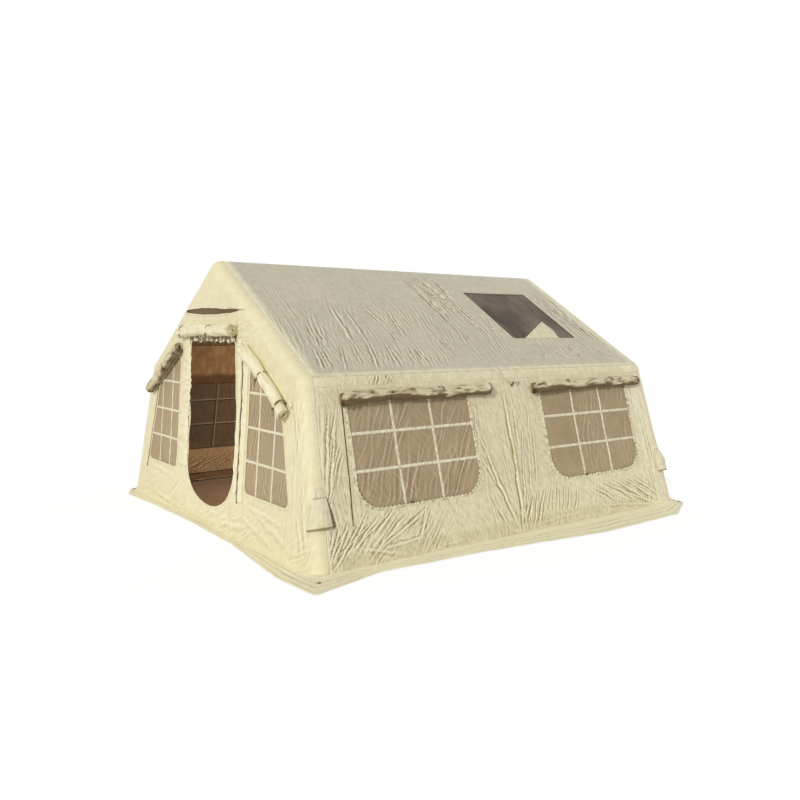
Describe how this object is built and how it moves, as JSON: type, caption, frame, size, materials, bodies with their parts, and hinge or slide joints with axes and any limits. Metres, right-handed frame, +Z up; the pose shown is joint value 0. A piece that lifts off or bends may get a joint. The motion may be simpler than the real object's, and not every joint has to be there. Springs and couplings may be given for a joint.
{
  "type": "inflatable cabin tent",
  "caption": "Walk-in cabin tent on an inflated tube frame, with doors and windows whose covers roll up, mesh lattice windows and a roof window.",
  "frame": {"origin": "on the ground under the middle of the tent", "axes": "+Z up, +Y along the ridge from the front door to the rear one, +X to the long side that is on the right of someone who looks in at the front door"},
  "size_m": [4.42, 4.415, 2.2242],
  "materials": {
    "air_tube_cloth": "cream woven sleeve over an air bladder",
    "gable_cloth": "cream woven cloth",
    "groundsheet_cloth": "dark coated groundsheet cloth",
    "insect_mesh": "fine insect mesh, gathered",
    "lattice_tape": "cream woven tape",
    "ring_steel": "plain steel wire",
    "rolled_cover_cloth": "cream cloth, rolled up",
    "roof_cloth": "beige coated roof cloth",
    "skirt_cloth": "cream woven cloth",
    "skylight_film": "clear brown-tinted film",
    "valve_plastic": "dark moulded plastic",
    "wall_cloth": "cream woven cloth",
    "window_mesh": "tan window mesh",
    "zip_metal": "dark plated zip slider"
  },
  "bodies": {
    "tent": {"front_air_arch": "air_tube_cloth", "front_gable_left_window_lattice": "lattice_tape", "front_gable_left_window_pane": "window_mesh", "front_gable_right_window_lattice": "lattice_tape", "front_gable_right_window_pane": "window_mesh", "front_gable_wall": "gable_cloth", "ground_skirt": "skirt_cloth", "groundsheet": "groundsheet_cloth", "left_eave_air_beam_front": "air_tube_cloth", "left_eave_air_beam_rear": "air_tube_cloth", "left_front_roof": "roof_cloth", "left_front_wall": "wall_cloth", "left_front_window_lattice": "lattice_tape", "left_front_window_pane": "window_mesh", "left_rear_roof": "roof_cloth", "left_rear_wall": "wall_cloth", "left_rear_window_lattice": "lattice_tape", "left_rear_window_pane": "window_mesh", "middle_air_arch": "air_tube_cloth", "rear_air_arch": "air_tube_cloth", "rear_gable_left_window_lattice": "lattice_tape", "rear_gable_left_window_pane": "window_mesh", "rear_gable_right_window_lattice": "lattice_tape", "rear_gable_right_window_pane": "window_mesh", "rear_gable_wall": "gable_cloth", "ridge_air_beam_front": "air_tube_cloth", "ridge_air_beam_rear": "air_tube_cloth", "right_eave_air_beam_front": "air_tube_cloth", "right_eave_air_beam_rear": "air_tube_cloth", "right_front_roof": "roof_cloth", "right_front_valve_body": "valve_plastic", "right_front_wall": "wall_cloth", "right_front_window_lattice": "lattice_tape", "right_front_window_pane": "window_mesh", "right_rear_roof": "roof_cloth", "right_rear_valve_body": "valve_plastic", "right_rear_wall": "wall_cloth", "right_rear_window_lattice": "lattice_tape", "right_rear_window_pane": "window_mesh", "skylight_pane": "skylight_film"},
    "right_front_window_cover": {"right_front_window_cover": "rolled_cover_cloth"},
    "right_rear_window_cover": {"right_rear_window_cover": "rolled_cover_cloth"},
    "left_front_window_cover": {"left_front_window_cover": "rolled_cover_cloth"},
    "left_rear_window_cover": {"left_rear_window_cover": "rolled_cover_cloth"},
    "front_gable_left_window_cover": {"front_gable_left_window_cover": "rolled_cover_cloth"},
    "front_gable_right_window_cover": {"front_gable_right_window_cover": "rolled_cover_cloth"},
    "front_door": {"front_door": "rolled_cover_cloth"},
    "front_mesh_door": {"front_mesh_door": "insect_mesh"},
    "front_door_zip_slider": {"front_door_zip_slider": "zip_metal"},
    "rear_gable_left_window_cover": {"rear_gable_left_window_cover": "rolled_cover_cloth"},
    "rear_gable_right_window_cover": {"rear_gable_right_window_cover": "rolled_cover_cloth"},
    "rear_door": {"rear_door": "rolled_cover_cloth"},
    "rear_mesh_door": {"rear_mesh_door": "insect_mesh"},
    "rear_door_zip_slider": {"rear_door_zip_slider": "zip_metal"},
    "right_guy_ring": {"right_guy_ring": "ring_steel"},
    "left_guy_ring": {"left_guy_ring": "ring_steel"},
    "right_front_valve_cap": {"right_front_valve_cap": "valve_plastic"},
    "right_front_valve_flap": {"right_front_valve_flap": "rolled_cover_cloth"},
    "right_rear_valve_cap": {"right_rear_valve_cap": "valve_plastic"},
    "right_rear_valve_flap": {"right_rear_valve_flap": "rolled_cover_cloth"}
  },
  "joints": [
    {"name": "right_front_window_cover_unroll", "type": "slide", "parent": "tent", "child": "right_front_window_cover", "axis": [0.2631, 0, -0.9648], "range_m": [0, 0.78]},
    {"name": "right_rear_window_cover_unroll", "type": "slide", "parent": "tent", "child": "right_rear_window_cover", "axis": [0.2631, 0, -0.9648], "range_m": [0, 0.78]},
    {"name": "left_front_window_cover_unroll", "type": "slide", "parent": "tent", "child": "left_front_window_cover", "axis": [-0.2631, 0, -0.9648], "range_m": [0, 0.78]},
    {"name": "left_rear_window_cover_unroll", "type": "slide", "parent": "tent", "child": "left_rear_window_cover", "axis": [-0.2631, 0, -0.9648], "range_m": [0, 0.78]},
    {"name": "front_gable_left_window_cover_unroll", "type": "slide", "parent": "tent", "child": "front_gable_left_window_cover", "axis": [0, -0.0718, -0.9974], "range_m": [0, 0.72]},
    {"name": "front_gable_right_window_cover_unroll", "type": "slide", "parent": "tent", "child": "front_gable_right_window_cover", "axis": [0, -0.0718, -0.9974], "range_m": [0, 0.72]},
    {"name": "front_door_unroll", "type": "slide", "parent": "tent", "child": "front_door", "axis": [0, -0.0718, -0.9974], "range_m": [0, 1.36]},
    {"name": "front_mesh_door_unroll", "type": "slide", "parent": "tent", "child": "front_mesh_door", "axis": [0, 0, -1], "range_m": [0, 1.28]},
    {"name": "front_door_zip", "type": "slide", "parent": "tent", "child": "front_door_zip_slider", "axis": [0, 0.0718, 0.9974], "range_m": [0, 0.92]},
    {"name": "rear_gable_left_window_cover_unroll", "type": "slide", "parent": "tent", "child": "rear_gable_left_window_cover", "axis": [0, 0.0718, -0.9974], "range_m": [0, 0.72]},
    {"name": "rear_gable_right_window_cover_unroll", "type": "slide", "parent": "tent", "child": "rear_gable_right_window_cover", "axis": [0, 0.0718, -0.9974], "range_m": [0, 0.72]},
    {"name": "rear_door_unroll", "type": "slide", "parent": "tent", "child": "rear_door", "axis": [0, 0.0718, -0.9974], "range_m": [0, 1.36]},
    {"name": "rear_mesh_door_unroll", "type": "slide", "parent": "tent", "child": "rear_mesh_door", "axis": [0, 0, -1], "range_m": [0, 1.28]},
    {"name": "rear_door_zip", "type": "slide", "parent": "tent", "child": "rear_door_zip_slider", "axis": [0, -0.0718, 0.9974], "range_m": [0, 0.92]},
    {"name": "right_guy_ring_swing", "type": "hinge", "parent": "tent", "child": "right_guy_ring", "pos_m": [1.53486, 0.165, 1.21877], "axis": [0, -1, 0], "range_deg": [0, 150]},
    {"name": "left_guy_ring_swing", "type": "hinge", "parent": "tent", "child": "left_guy_ring", "pos_m": [-1.53486, -0.165, 1.21877], "axis": [0, 1, 0], "range_deg": [0, 150]},
    {"name": "right_front_valve_cap_turn", "type": "hinge", "parent": "tent", "child": "right_front_valve_cap", "pos_m": [1.72654, -1.94999, 0.41228], "axis": [0.6758, -0.6987, 0.2346], "range_deg": [0, 90]},
    {"name": "right_front_valve_flap_lift", "type": "hinge", "parent": "tent", "child": "right_front_valve_flap", "pos_m": [1.71234, -1.95957, 0.53378], "axis": [-0.6887, -0.712, -0.1366], "range_deg": [0, 110]},
    {"name": "right_rear_valve_cap_turn", "type": "hinge", "parent": "tent", "child": "right_rear_valve_cap", "pos_m": [1.72654, 1.94999, 0.41228], "axis": [0.6758, 0.6987, 0.2346], "range_deg": [0, 90]},
    {"name": "right_rear_valve_flap_lift", "type": "hinge", "parent": "tent", "child": "right_rear_valve_flap", "pos_m": [1.71234, 1.95957, 0.53378], "axis": [0.6887, -0.712, 0.1366], "range_deg": [0, 110]}
  ]
}
